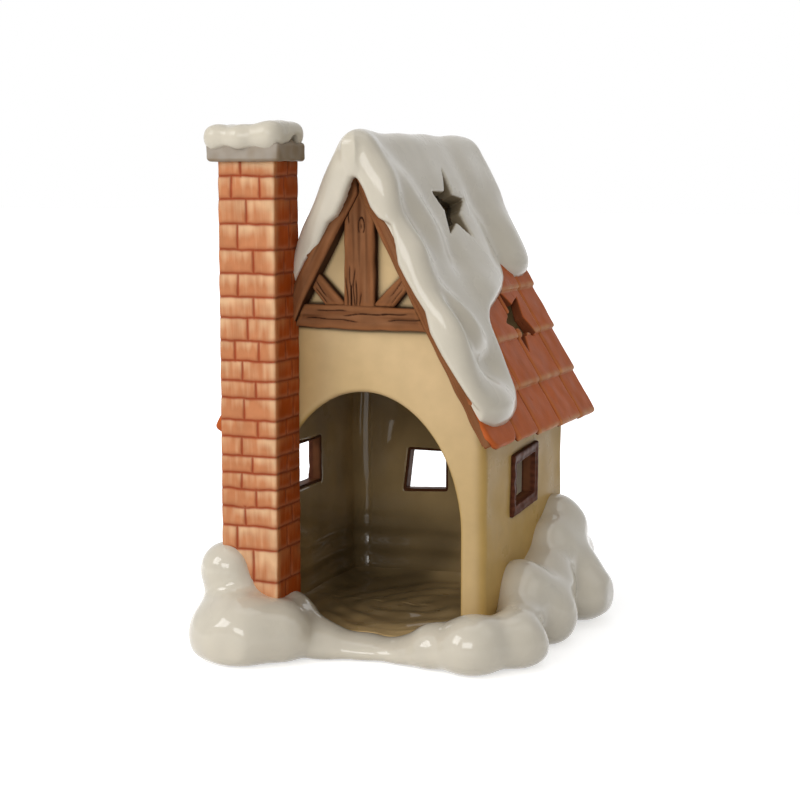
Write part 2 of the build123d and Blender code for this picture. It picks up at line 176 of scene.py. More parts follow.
def star_corners(along, rise, turn):
    """Corners of a five-tipped star on a slope."""
    upward = math.pi / 2 + math.radians(turn)
    corners = []
    for step in range(10):
        angle = upward + step * math.pi / 5
        radius = STAR_NOTCH if step % 2 else STAR_TIP
        corners.append((along + radius * math.cos(angle), rise + radius * math.sin(angle)))
    return corners


def stars(u, s):
    """Distance in a slope's plane to the nearer of its two stars."""
    upper, lower = STARS
    unstretched = star_corners(*upper) - np.array((upper[0], 0.0))
    to_upper = polygon((u - upper[0]) / STAR_STRETCH, s, unstretched)
    return np.minimum(to_upper, polygon(u, s, star_corners(*lower)))


def blur(table, width):
    """A table of heights softened over about width cells each way."""
    reach = int(3 * width)
    kernel = np.exp(-0.5 * (np.arange(-reach, reach + 1) / width) ** 2)
    kernel /= kernel.sum()
    padded = np.pad(table, reach, mode="edge")
    rows = np.apply_along_axis(lambda v: np.convolve(v, kernel, "valid"), 0, padded)
    return np.apply_along_axis(lambda v: np.convolve(v, kernel, "valid"), 1, rows)


def to_slope(x, z, side):
    """Up-slope distance from the eave, and height above the slab's underside, on one side."""
    across = side * (x - RIDGE_X) - EAVE_X
    up = z - EAVE_Z
    return up * SIN - across * COS, across * SIN + up * COS


class Place:
    """Where a piece's own axes lie in the part's frame."""

    def __init__(self, origin, first, second, third):
        self.origin = np.array(origin, float)
        self.axes = np.array([first, second, third], float)

    def out(self, points):
        return self.origin + points @ self.axes


WORLD = Place((0, 0, 0), (1, 0, 0), (0, 1, 0), (0, 0, 1))
RIGHT_SLOPE = Place((RIDGE_X + EAVE_X, VERGE_Y, EAVE_Z), (0, 1, 0), (-COS, 0, SIN), (SIN, 0, COS))
LEFT_SLOPE = Place((RIDGE_X - EAVE_X, VERGE_Y, EAVE_Z), (0, 1, 0), (COS, 0, SIN), (-SIN, 0, COS))
FRONT_FACE = Place((RIDGE_X, FRONT_Y, 0), (1, 0, 0), (0, 0, 1), (0, -1, 0))
BACK_FACE = Place((RIDGE_X, BACK_Y, 0), (-1, 0, 0), (0, 0, 1), (0, 1, 0))
RIGHT_FACE = Place((RIGHT_X, FRONT_Y, 0), (0, 1, 0), (0, 0, 1), (1, 0, 0))
LEFT_FACE = Place((LEFT_X, FRONT_Y, 0), (0, 1, 0), (0, 0, 1), (-1, 0, 0))


def sample(field, at):
    """Values of a block of samples at points between them."""
    low = np.clip(np.floor(at).astype(int), 0, np.array(field.shape) - 2)
    f = at - low
    total = 0.0
    for i in (0, 1):
        for j in (0, 1):
            for k in (0, 1):
                weight = np.abs(1 - i - f[:, 0]) * np.abs(1 - j - f[:, 1]) * np.abs(1 - k - f[:, 2])
                total = total + weight * field[low[:, 0] + i, low[:, 1] + j, low[:, 2] + k]
    return total


def sculpt(name, shape, low, high, step, paint, material, nodes, slot, place=WORLD, gloss=0.0):
    """Skins a distance field, paints and glosses it and puts it in place of its construction nodes."""
    axes = [np.arange(a - 3 * step, b + 4 * step, step) for a, b in zip(low, high)]
    size = tuple(len(axis) for axis in axes)
    field = np.broadcast_to(shape(*np.ix_(*axes)), size)
    field = np.ascontiguousarray(np.clip(field, -4 * step, 4 * step), dtype=np.float32)
    grid = openvdb.FloatGrid(4 * step)
    grid.copyFromArray(field)
    cells, quads = grid.convertToQuads()
    slope = np.stack(
        [sample(field, cells + d) - sample(field, cells - d) for d in 0.5 * np.eye(3)], axis=1
    )
    own = cells * step + np.array([axis[0] for axis in axes])
    normals = slope / np.maximum(np.linalg.norm(slope, axis=1, keepdims=True), 1e-9) @ place.axes
    points = place.out(own)
    corners = points[quads]
    facing = np.cross(corners[:, 2] - corners[:, 0], corners[:, 3] - corners[:, 1])
    if np.einsum("ij,ij->", facing, normals[quads[:, 0]]) < 0:
        quads = quads[:, ::-1]
    mesh = bpy.data.meshes.new(name)
    mesh.vertices.add(len(points))
    mesh.vertices.foreach_set("co", (points * 0.001).astype(np.float32).ravel())
    mesh.loops.add(quads.size)
    mesh.loops.foreach_set("vertex_index", np.ascontiguousarray(quads, dtype=np.int32).ravel())
    mesh.polygons.add(len(quads))
    mesh.polygons.foreach_set("loop_start", np.arange(0, quads.size, 4, dtype=np.int32))
    mesh.polygons.foreach_set("use_smooth", np.ones(len(quads), bool))
    mesh.update(calc_edges=True)
    mesh.validate()
    mesh.normals_split_custom_set_from_vertices(normals.astype(np.float32))
    colour = np.ones((len(points), 4), np.float32)
    colour[:, :3] = np.clip(paint(own, normals), 0.0, 1.0)
    colour[:, 3] = gloss(own) if callable(gloss) else gloss
    layer = mesh.attributes.new("paint", "FLOAT_COLOR", "POINT")
    layer.data.foreach_set("color", colour.ravel())
    mesh.materials.append(material)
    piece = bpy.data.objects.new(name, mesh)
    bpy.context.scene.collection.objects.link(piece)
    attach(piece, "root")
    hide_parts(*nodes)
    return piece


def mix(one, two, share):
    """Colours from one to two by a share, which may differ from point to point."""
    share = np.asarray(np.clip(share, 0.0, 1.0))[..., None]
    return one * (1 - share) + two * share


# Glazes
def glaze(name, roughness, mottle, relief, specular):
    """A fired glaze over the painted colours: mottled, slightly uneven, as glossy as the paint's alpha."""
    material = bpy.data.materials.new(name)
    material.use_nodes = True
    nodes, links = material.node_tree.nodes, material.node_tree.links
    shader = nodes["Principled BSDF"]
    place = nodes.new("ShaderNodeTexCoord")
    colour = nodes.new("ShaderNodeAttribute")
    colour.attribute_name = "paint"

    def noise(scale, detail):
        node = nodes.new("ShaderNodeTexNoise")
        node.inputs["Scale"].default_value = scale
        node.inputs["Detail"].default_value = detail
        links.new(place.outputs["Object"], node.inputs["Vector"])
        return node.outputs["Fac"]

    def spread(value, low, high):
        node = nodes.new("ShaderNodeMapRange")
        node.inputs["From Min"].default_value = 0.3
        node.inputs["From Max"].default_value = 0.7
        node.inputs["To Min"].default_value = low
        node.inputs["To Max"].default_value = high
        links.new(value, node.inputs["Value"])
        return node.outputs["Result"]

    shade = nodes.new("ShaderNodeVectorMath")
    shade.operation = "SCALE"
    links.new(colour.outputs["Color"], shade.inputs[0])
    links.new(spread(noise(160.0, 6.0), 1 - mottle, 1 + mottle), shade.inputs["Scale"])
    links.new(shade.outputs["Vector"], shader.inputs["Base Color"])
    links.new(spread(noise(70.0, 4.0), 0.7 * roughness, 1.35 * roughness), shader.inputs["Roughness"])
    bump = nodes.new("ShaderNodeBump")
    bump.inputs["Strength"].default_value = relief
    bump.inputs["Distance"].default_value = 0.0004
    links.new(noise(420.0, 3.0), bump.inputs["Height"])
    links.new(bump.outputs["Normal"], shader.inputs["Normal"])
    shader.inputs["Specular IOR Level"].default_value = specular
    links.new(colour.outputs["Alpha"], shader.inputs["Coat Weight"])
    shader.inputs["Coat Roughness"].default_value = 0.04
    return material


snow_glaze = glaze("snow_glaze", 0.30, 0.02, 0.06, 0.1)
wall_glaze = glaze("wall_glaze", 0.34, 0.04, 0.08, 0.04)
brick_glaze = glaze("brick_glaze", 0.42, 0.09, 0.25, 0.02)
tile_glaze = glaze("tile_glaze", 0.36, 0.07, 0.20, 0.02)
timber_glaze = glaze("timber_glaze", 0.40, 0.10, 0.25, 0.03)
cap_glaze = glaze("cap_glaze", 0.36, 0.06, 0.2, 0.05)

SNOW = np.array((0.66, 0.60, 0.485))
SNOW_SHADE = np.array((0.55, 0.50, 0.41))
# Painted shade: dark colours for the walls of the star holes, in the snow and in the clay
STAR_HOLE_SHADE = np.array((0.26, 0.205, 0.13))
STAR_CLAY_SHADE = np.array((0.22, 0.06, 0.022))
CREAM = np.array((0.67, 0.485, 0.26))
TAN = np.array((0.48, 0.325, 0.135))
# Painted shade: the walls' colour on their side faces
WALL_SIDE_SHADE = np.array((0.54, 0.345, 0.105))
# Painted shade: the cream glaze as it looks in the shade inside the house
INSIDE_SHADE = np.array((0.40, 0.28, 0.13))
BRICK = np.array((0.57, 0.225, 0.10))
BRICK_PALE = np.array((0.76, 0.47, 0.265))
BRICK_SHADE = np.array((0.36, 0.062, 0.008))
# Painted shade: the pale brick colour as it looks on the chimney's shaded sides
BRICK_PALE_SHADE = np.array((0.50, 0.20, 0.075))
MORTAR = np.array((0.31, 0.05, 0.018))
TILE = np.array((0.56, 0.128, 0.030))
# Painted highlight on the tiles' noses and beside their joints
TILE_HIGHLIGHT = np.array((0.64, 0.32, 0.14))
# Painted shade: the clay's colour in shade, on the slab, under the tiles' noses and deep in the joints
TILE_SHADE = np.array((0.17, 0.035, 0.012))
TILE_RIM = np.array((0.50, 0.11, 0.026))
WOOD = np.array((0.205, 0.080, 0.032))
WOOD_PALE = np.array((0.27, 0.122, 0.056))
# Painted highlight along the timbers' edges
WOOD_EDGE_HIGHLIGHT = np.array((0.29, 0.115, 0.042))
# Dark grain and cracks, and painted shade on and beside the timbers and window frames
WOOD_GRAIN_AND_SHADE = np.array((0.035, 0.012, 0.005))
FRAME_WOOD = np.array((0.075, 0.024, 0.012))
GREY = np.array((0.37, 0.32, 0.265))
GREY_SHADE = np.array((0.27, 0.20, 0.13))

# Snow round the foot: lobes as balls on stems, melted together.
# Each lobe: along, out, top and radius, as shares of its row's run, reach, height and reach.
RIGHT_LOBES = (
    (-0.108, -0.02, 0.44, 0.46),
    (0.032, 0.40, 0.39, 0.40),
    (0.323, 0.15, 0.66, 0.44),
    (0.398, 0.37, 0.50, 0.46),
    (0.538, 0.19, 0.63, 0.45),
    (0.709, 0.10, 0.85, 0.43),
    (0.839, 0.02, 0.99, 0.43),
    (0.774, 0.29, 0.66, 0.48),
    (0.760, 0.53, 0.47, 0.47),
    (0.960, 0.07, 0.70, 0.43),
)
LEFT_LOBES = (
    (0.086, 0.28, 0.72, 0.65),
    (0.280, 0.33, 0.71, 0.67),
    (0.473, 0.22, 0.82, 0.62),
    (0.667, 0.22, 0.94, 0.65),
    (0.710, 0.30, 0.64, 0.65),
    (0.860, 0.22, 1.00, 0.65),
    (0.968, 0.28, 0.67, 0.65),
)
BACK_LOBES = (
    (0.033, 0.25, 0.85, 0.62),
    (0.262, 0.25, 0.68, 0.58),
    (0.514, 0.40, 0.73, 0.60),
    (0.765, 0.30, 0.67, 0.55),
    (0.930, 0.20, 0.85, 0.60),
)
FRONT_LOBES = (
    (-0.006, 0.399, 1.050, 0.228),
    (0.045, 0.299, 0.800, 0.259),
    (0.035, 0.582, 0.606, 0.346),
    (0.112, 0.663, 0.600, 0.337),
    (0.231, 0.487, 0.554, 0.305),
    (0.197, 0.155, 0.541, 0.218),
    (0.373, 0.226, 0.285, 0.244),
    (0.540, 0.124, 0.205, 0.234),
    (0.701, 0.130, 0.201, 0.230),
    (0.841, 0.204, 0.401, 0.246),
)
# Each row: its lobes, the corner it starts at, its direction, the way out, and its run, reach and height
LOBE_ROWS = (
    (FRONT_LOBES, (LEFT_X, FRONT_Y), (1, 0), (0, -1), 87.4, 39.0, 36.0),
    (RIGHT_LOBES, (RIGHT_X, FRONT_Y), (0, 1), (1, 0), 93.0, 25.5, 45.0),
    (LEFT_LOBES, (LEFT_X, FRONT_Y), (0, 1), (-1, 0), 93.0, 18.5, 36.0),
    (BACK_LOBES, (LEFT_X, BACK_Y), (1, 0), (0, 1), 87.4, 20.0, 30.0),
)


def foot_snow_shape(x, y, z):
    snow = 1e3
    for rows, corner, along, outward, run, reach, height in LOBE_ROWS:
        balls = []
        for share, out, top, size in rows:
            radius = size * reach
            foot = [corner[i] + along[i] * share * run + outward[i] * out * reach for i in (0, 1)]
            balls.append((np.array((*foot, top * height - radius)), radius))
        for centre, radius in balls:
            snow = smooth_min(snow, capsule(x, y, z, centre, centre, radius), 7.0)
            if centre[2] > 0:
                base = (centre[0], centre[1], 0.0)
                snow = smooth_min(snow, capsule(x, y, z, base, centre, 0.84 * radius), 4.0)
        for (one, r_one), (two, r_two) in zip(balls, balls[1:]):
            snow = smooth_min(snow, capsule(x, y, z, one, two, 0.88 * min(r_one, r_two)), 7.0)
    snow = snow + 1.0 + 0.4 * waves(11, 34.0, x, y, z)
    snow = snow - 0.4 * waves(12, 17.0, x, y, z) * step_up(x, 36.0, 50.0) * step_up(y, -45.0, -25.0)
    undercut = 5.0 + 6.0 * step_up(x, 20.0, 50.0) * step_up(y, 0.0, 30.0)
    snow = smooth_max(snow, 0.1 - z, undercut)
    house_low = (LEFT_X + 1.5, FRONT_Y + 0.8, -50)
    house_high = (RIGHT_X - 1.5, BACK_Y - 1.5, 200)
    house = round_box(x, y, z, house_low, house_high, 3.0)
    snow = smooth_max(snow, -house, 1.5)
    edge = np.maximum(np.abs(x) - 65.3, np.abs(y) - 75.6)
    return smooth_max(snow, edge, 1.5)


def snow_paint(own, normals):
    grain = 0.5 + 0.5 * waves(5, 9.0, *own.T)
    return mix(SNOW, SNOW_SHADE, 0.22 * grain + 0.45 * np.clip(-normals[:, 2], 0, 1))


sculpt(
    "foot_snow",
    foot_snow_shape,
    (-65.6, -76.0, 0.0),
    (65.6, 76.0, 46.5),
    SNOW_CELL,
    snow_paint,
    snow_glaze,
    ("chimney_drift", "front_snow_rim", "right_drift", "left_drift", "back_drift"),
    "snow_glaze",
    gloss=FOOT_GLOSS,
)

# Snow on the roof: a blanket with a lobed lower edge that rolls over the verges.
# Each outline runs along the verge and up the slope; each rim says how low the roll hangs at the verge.
RIGHT_EDGE = (
    (-3.0, 125), (-3.0, 20), (-0.6, 12), (7.4, 8.0), (20, 7.5), (31, 9.5), (40, 16), (43, 28),
    (43, 42), (47, 46), (58, 49), (70, 52), (80, 56), (84, 61), (87.4, 64), (89.5, 61.5),
    (96, 57.5), (106, 57.5), (113, 59.5), (117.8, 65), (117.8, 92), (115.5, 104), (112, 125),
)
LEFT_EDGE = (
    (-3.0, 125), (-3.0, 101), (4.4, 60), (9.5, 56), (9.5, 42), (16, 33), (30, 32), (38, 37),
    (44, 49), (52, 54), (64, 51), (74, 44), (82, 38), (96, 36), (108, 38), (115.4, 44),
    (115.4, 92), (112, 104), (109, 125),
)
RIGHT_RIM = (
    (0, 13, 19, 29, 37, 45, 52, 58, 65, 70, 76, 82.7, 86.7, 91, 97, 110),
    (4.4, 4.2, 3.4, 2.3, 1.5, 1.2, 2.8, 2.0, 1.5, 1.4, 3.3, 4.7, 2.0, 1.1, 1.6, 1.0),
)
LEFT_RIM = ((0, 60, 69, 77, 85, 89, 95, 110), (3.0, 3.2, 3.2, 0.8, 0.7, -1.2, -1.6, -1.0))
# Swells and hollows of each side: along the verge, up the slope, their two widths, slant and height
RIGHT_SWELLS = (
    (-1, 94, 7, 9, 0, 1.8), (3, 73, 7, 9, 0, 2.2), (20, 86, 9, 16, -0.6, 3.4),
    (36, 68, 9, 8, 0, -2.0), (0, 44, 6, 12, -0.37, 2.4), (15, 46, 6, 11, -0.62, 3.0),
    (8, 47, 3, 9, -0.5, -1.0), (22, 28.5, 8, 5.5, 0, -4.2), (14, 15, 13, 8, 0, 2.4),
    (50, 55, 13, 10, 0, 1.8), (87, 68, 6, 13, 0, -2.0), (80, 90, 8, 14, -0.3, -1.0),
    (103, 72, 9, 16, 0, 2.2), (66, 64, 12, 9, 0, 1.2), (118, 97, 6, 4, 0, -1.2),
)
LEFT_SWELLS = (
    (4, 76, 24, 13, 0, 2.2), (60, 60, 14, 10, 0, 1.2), (96, 56, 14, 16, 0, 1.5),
    (30, 44, 12, 9, 0, 1.4), (44, 66, 8, 14, -0.4, -1.4), (80, 74, 9, 14, 0.3, -1.2),
    (20, 70, 8, 10, 0, 0.9),
)
SNOW_DEPTH = 7.5
SNOW_LEAST = 4.4
RIDGE_TOP = 178.8


def roof_snow_shape(x, y, z):
    u = y - VERGE_Y
    rises = np.arange(-20.0, 150.0, 0.5)
    both = 1e3
    for side, edge, rim, swells, crown, seed in (
        (1, RIGHT_EDGE, RIGHT_RIM, RIGHT_SWELLS, 2.0, 21),
        (-1, LEFT_EDGE, LEFT_RIM, LEFT_SWELLS, 0.9, 22),
    ):
        s, t = to_slope(x, z, side)
        row = u.ravel()[:, None]
        outline = blur(polygon(row, rises[None, :], edge), 4.0)
        holes = stars(row, rises[None, :])
        at = np.clip((s[:, 0, :] - rises[0]) / 0.5, 0, len(rises) - 2)
        low = at.astype(int)
        part = (at - low)[None]

        def over(table):
            return np.swapaxes(table[:, low] * (1 - part) + table[:, low + 1] * part, 0, 1)

        top = SNOW_DEPTH + 0.5 * waves(seed, 60.0, u, s) + 0.15 * waves(seed + 7, 26.0, u, s)
        top = top + 1.0 * np.exp(-(((u - 2) / 6) ** 2)) * step_up(s, 22.0, 40.0)
        top = top + crown * step_up(s, 84.0, 99.0)
        for along, rise, width, length, slant, height in swells:
            aside = (u - along - slant * (s - rise)) / width
            top = top + height * np.exp(-(aside**2) - ((s - rise) / length) ** 2)
        top = smooth_max(top, SNOW_LEAST, 1.5)
        verge = -3.0 if side > 0 else np.interp(s, (60, 101), (4.4, -3.0))
        under = np.where(u < verge + 4.0, np.interp(s, *rim), 1.2)
        snow = smooth_max(t - top, over(outline), 7.0)
        snow = smooth_max(snow, under - t, 2.0)
        snow = np.maximum(snow, -side * (x - RIDGE_X) - 2.0)
        snow = smooth_max(snow, -over(holes), 1.2)
        both = smooth_min(both, snow, 3.0)
    chimney = round_box(x, y, z, CHIMNEY_LOW, CHIMNEY_HIGH, 1.0) + 1.0
    both = np.maximum(both, -chimney)
    ridge = RIDGE_TOP + 0.6 * np.exp(-(((y + 43.0) / 9.0) ** 2)) + 0.3 * waves(31, 35.0, y)
    return smooth_max(both, z - ridge, 5.0)


def roof_snow_paint(own, normals):
    x, y, z = own.T
    colour = snow_paint(own, normals)
    for side in (1, -1):
        s, t = to_slope(x, z, side)
        lean = normals[:, 0] * side * SIN + normals[:, 2] * COS
        here = side * (x - RIDGE_X) > 0
        near_star = step_up(-stars(y - VERGE_Y, s), -1.0, -0.5)
        # Painted shade: the walls of the star holes in the snow are dark
        colour = mix(colour, STAR_HOLE_SHADE, here * near_star * step_up(-lean, -0.75, -0.3))
    return colour


sculpt(
    "roof_snow",
    roof_snow_shape,
    (-52.0, -50.0, 78.0),
    (54.0, 71.0, 180.4),
    SNOW_CELL,
    roof_snow_paint,
    snow_glaze,
    ("left_roof_snow", "right_roof_snow"),
    "snow_glaze",
    gloss=ROOF_GLOSS,
)

# Snow on the chimney: a thick pillow over the cap's edges, with a bare knob of the cap on the right.
# Each lump: its middle and its radius.
CAP_LOW = (-51.3, -59.1, 168.4)
CAP_HIGH = (-23.9, -37.0, 175.0)
KNOB = (-26.6, -46.0, 174.0)
CAP_LUMPS = (
    (-47.6, -56.4, 176.4, 4.9), (-38.2, -57.4, 176.2, 4.6), (-28.8, -55.8, 177.4, 5.2),
    (-48.8, -44.0, 176.6, 5.0), (-38.0, -41.0, 177.4, 5.0), (-28.6, -42.0, 178.0, 5.0),
    (-29.0, -49.0, 178.6, 4.6),
)


def chimney_snow_shape(x, y, z):
    snow = round_box(x, y, z, (-51.2, -59.4, 172.6), (-24.4, -37.6, 181.4), 4.2)
    for lump in CAP_LUMPS:
        snow = smooth_min(snow, capsule(x, y, z, lump[:3], lump[:3], lump[3]), 5.0)
    snow = snow + 0.7 + 0.25 * waves(41, 18.0, x, y, z)
    hem = 171.9 + 0.6 * waves(42, 9.0, x, y) + 2.2 * step_up(x, -27.0, -24.5)
    snow = smooth_max(snow, hem - z, 1.5)
    snow = smooth_max(snow, -capsule(x, y, z, KNOB, (-18.0, -46.0, 174.0), 3.3), 1.2)
    crest = 181.9 + 1.0 * step_up(x, -40.0, -28.0) - 0.6 * np.exp(-(((x + 42.5) / 3.0) ** 2))
    return smooth_max(snow, z - crest, 3.5)


sculpt(
    "chimney_snow",
    chimney_snow_shape,
    (-55.0, -64.0, 168.0),
    (-20.0, -33.0, 183.0),
    CAP_CELL,
    snow_paint,
    snow_glaze,
    ("chimney_snow",),
    "snow_glaze",
    gloss=CAP_GLOSS,
)


def chimney_cap_shape(x, y, z):
    cap = round_box(x, y, z, CAP_LOW, CAP_HIGH, 1.5) + 0.15
    cap = smooth_min(cap, capsule(x, y, z, (-27.6, -46.0, 174.0), (-34.0, -46.0, 174.0), 2.9), 1.0)
    return cap + 0.18 * waves(43, 9.0, x, y, z)


def cap_paint(own, normals):
    shade = 0.12 + 0.2 * waves(44, 6.0, *own.T) + 0.8 * step_up(normals[:, 0], 0.3, 0.9)
    return mix(GREY, GREY_SHADE, shade + 0.5 * (own[:, 2] < 169.6))


sculpt(
    "chimney_cap",
    chimney_cap_shape,
    CAP_LOW,
    (CAP_HIGH[0], CAP_HIGH[1], 178.6),
    CAP_CELL,
    cap_paint,
    cap_glaze,
    ("chimney_cap",),
    "cap_glaze",
)

# Chimney: carved bricks, each course with its own height and its own joints as shares of the face
BEDS = (
    0.0, 14.5, 26.3, 37.2, 45.2, 51.8, 58.0, 63.5, 69.4, 75.9, 81.7, 89.2, 95.0, 101.8, 108.6, 116.4,
    123.4, 131.2, 139.2, 147.8, 156.1, 163.7, 168.4,
)
FRONT_JOINTS = (
    (0.4,), (0.3,), (0.57,), (0.28,), (0.44,), (0.64,), (0.37,), (0.57,),
    (0.38,), (0.68,), (0.43,), (0.65,), (0.40,), (0.27, 0.71), (0.51,), (0.62,),
    (0.34,), (0.62,), (0.34,), (0.50,), (0.23, 0.75), (0.40,),
)
SIDE_JOINTS = (
    (0.5,), (0.35,), (0.58,), (0.42,), (0.66,), (0.38,), (0.60,), (0.45,),
    (0.70,), (0.42,), (0.72,), (0.50,), (0.68,), (0.42,), (0.62,), (0.45,),
    (0.70,), (0.38,), (0.60,), (0.66,), (0.40,), (0.55,),
)
GROOVE_DEPTH = 0.36
GROOVE_WIDTH = 0.42


def brick_lines(x, y, z):
    """Distance to the nearest mortar line on the chimney's skin."""
    wobble = 0.14 * waves(51, 14.0, x, y, z) + 0.07 * waves(52, 5.0, x, y, z)
    lines = 1e3
    for bed in BEDS[1:-1]:
        lines = np.minimum(lines, np.abs(z - bed + wobble))
    faces = (
        (np.abs(y - CHIMNEY_LOW[1]), x, CHIMNEY_LOW[0], CHIMNEY_WIDE, FRONT_JOINTS),
        (np.abs(x - CHIMNEY_HIGH[0]), y, CHIMNEY_LOW[1], CHIMNEY_DEEP, SIDE_JOINTS),
        (np.abs(x - CHIMNEY_LOW[0]), y, CHIMNEY_LOW[1], CHIMNEY_DEEP, FRONT_JOINTS[::-1]),
        (np.abs(y - CHIMNEY_HIGH[1]), x, CHIMNEY_LOW[0], CHIMNEY_WIDE, SIDE_JOINTS[::-1]),
    )
    for away, along, start, run, joints in faces:
        for low, high, shares in zip(BEDS, BEDS[1:], joints):
            gate = np.maximum(np.maximum(low - z, z - high), away - 1.6)
            for share in shares:
                line = np.abs(along - start - share * run + 0.8 * wobble)
                lines = np.minimum(lines, np.maximum(line, gate))
    return lines


def chimney_shape(x, y, z):
    block = round_box(x, y, z, CHIMNEY_LOW, (*CHIMNEY_HIGH[:2], 169.0), 0.8)
    lines = brick_lines(x, y, z)
    groove = GROOVE_DEPTH * np.exp(-((lines / GROOVE_WIDTH) ** 2))
    edge = np.minimum(np.abs(x - CHIMNEY_LOW[0]), np.abs(x - CHIMNEY_HIGH[0]))
    edge = np.maximum(edge, np.minimum(np.abs(y - CHIMNEY_LOW[1]), np.abs(y - CHIMNEY_HIGH[1])))
    groove = groove * (0.3 + 0.7 * step_up(edge, 0.5, 2.0))
    block = block - 0.3 + groove + 0.08 * waves(53, 8.0, x, y, z)
    return np.maximum(block, 0.05 - z)


def brick_paint(own, normals):
    x, y, z = own.T
    lines = brick_lines(x, y, z)
    course = np.clip(np.searchsorted(BEDS, z) - 1, 0, len(BEDS) - 2)
    rise = (z - np.array(BEDS)[course]) / np.diff(BEDS)[course]
    tone = np.random.default_rng(56).uniform(-1, 1, len(BEDS))[course]
    streaks = waves(54, 2.0, x + y, 0.10 * z) + 0.6 * waves(57, 0.9, x + y, 0.05 * z)
    corner = np.exp(-(((np.abs(x - CHIMNEY_HIGH[0]) + np.abs(y - CHIMNEY_LOW[1]) - 0.8) / 1.8) ** 2))
    # Painted shade: the chimney's side faces take darker copies of its colours, the mortar's too
    shaded = step_up(np.abs(normals[:, 0]), 0.5, 0.95)
    base = mix(BRICK, BRICK_SHADE, shaded)
    patches = 0.7 + 0.5 * waves(55, 9.0, x, y, z)
    pale = 0.75 * step_up(rise, 0.3, 0.95) * patches + 0.16 * streaks + 0.2 * tone
    pale = pale * (1 - 0.55 * shaded)
    colour = mix(base, mix(BRICK_PALE, BRICK_PALE_SHADE, shaded), pale + 0.7 * corner)
    red = 0.6 * np.exp(-(((lines - 0.6) / 0.8) ** 2)) * step_up(-rise, -0.6, -0.2)
    colour = mix(colour, mix(BRICK, MORTAR, 0.35), red)
    mortar = mix(MORTAR, 0.45 * MORTAR, shaded)
    return mix(colour, mortar, (0.95 - 0.3 * shaded) * np.exp(-((lines / 0.5) ** 2)))


sculpt(
    "chimney_bricks",
    chimney_shape,
    (-48.4, -56.2, 0.0),
    (-26.8, -36.5, 169.0),
    BRICK_CELL,
    brick_paint,
    brick_glaze,
    ("chimney_shaft",),
    "brick_glaze",
)

# Gable timbers: their outlines on the gable's face, across from its middle and up from the table
TIE_LOW, TIE_HIGH = 112.8, 120.3
POST = 5.65
BOARD_TOP = GABLE - 2.6 / COS
TIE_REACH = (BOARD_TOP - TIE_LOW) / math.tan(PITCH)
TIE_REACH_TOP = (BOARD_TOP - TIE_HIGH) / math.tan(PITCH)
POST_SHOULDER = BOARD_TOP - POST * math.tan(PITCH) + 0.8
LEAN = math.radians(50.0)


def brace_corners(side):
    """Corners of a brace from the foot of the king post out to a bargeboard."""
    along = np.array((side * math.cos(LEAN), math.sin(LEAN)))
    across = np.array((-side * math.sin(LEAN), math.cos(LEAN))) * 4.6
    foot = np.array((side * 6.4, TIE_LOW))
    start = (TIE_HIGH - 0.2 - foot[1]) / along[1]
    inner = foot + across + along * max((TIE_HIGH - 0.2 - (foot + across)[1]) / along[1], 0)
    inner_z = inner[1] + (abs(inner[0]) - 5.4) * math.tan(LEAN)
    end = start + 12.8
    return [
        foot + along * start,
        foot + along * end,
        foot + along * end + across * 1.05,
        np.array((side * 5.4, inner_z)),
        np.array((side * 5.4, TIE_HIGH - 0.2)),
    ]


def slope_line(a, height):
    """Height above the table of a line beside the roof's underside, across from the gable's middle."""
    return GABLE - abs(a) * math.tan(PITCH) + height / COS


def board_corners(side, short=False):
    """Corners of a bargeboard from the ridge to the eave or, where it is short, to the chimney."""
    if short:
        return [
            (0, slope_line(0, 2.2)),
            (-28, slope_line(28, 3.4)),
            (-28, slope_line(28, -2.4)),
            (0, slope_line(0, -3.2)),
        ]
    foot = EAVE_X - 3.8 * COS
    return [
        (0, GABLE),
        (side * foot, slope_line(foot, 0.0)),
        (side * (foot - 2.0 * SIN), slope_line(foot - 2.0 * SIN, -2.0)),
        (side * 34, slope_line(34, -2.2)),
        (side * 20, slope_line(20, -2.7)),
        (0, BOARD_TOP),
    ]


TIE_BEAM = [
    (-TIE_REACH - 0.6, TIE_LOW - 0.3),
    (0, TIE_LOW - 0.9),
    (TIE_REACH + 0.6, TIE_LOW - 0.6),
    (TIE_REACH_TOP + 0.4, TIE_HIGH - 0.4),
    (0, TIE_HIGH + 0.2),
    (-TIE_REACH_TOP - 0.4, TIE_HIGH + 0.2),
]
KING_POST = [
    (-POST, TIE_HIGH - 0.4),
    (POST, TIE_HIGH - 0.4),
    (POST, POST_SHOULDER),
    (0, BOARD_TOP + 0.8),
    (-POST, POST_SHOULDER),
]


def timber_distance(a, b):
    """Distance on a gable's face to the nearest timber."""
    slanted = [corners(side) for corners in (brace_corners, board_corners) for side in (-1, 1)]
    return np.min([polygon(a, b, corners) for corners in (TIE_BEAM, KING_POST, *slanted)], axis=0)


# Walls: one hollow casting with an arched doorway and three windows
SIDE_HOLE = ((32.0, 48.7), (53.4, 50.3), (53.8, 65.2), (32.8, 63.6))
LEFT_HOLE = ((32.6, 49.9), (52.8, 49.9), (52.8, 65.8), (32.6, 65.8))
BACK_HOLE = ((2.7, 42.3), (19.6, 41.4), (17.6, 57.2), (2.7, 57.2))
WINDOWS = (
    ("right", RIGHT_FACE, SIDE_HOLE),
    ("left", LEFT_FACE, LEFT_HOLE),
    ("back", BACK_FACE, BACK_HOLE),
)
ARCH_HALF = 35.2
ARCH_RISE = 47.5
ARCH_SPRING = 43.0


def on_face(face, x, y, z):
    """Across, up and out from a wall's face."""
    if face is RIGHT_FACE:
        return y - FRONT_Y, z, x - RIGHT_X
    if face is LEFT_FACE:
        return y - FRONT_Y, z, LEFT_X - x
    return RIDGE_X - x, z, y - BACK_Y


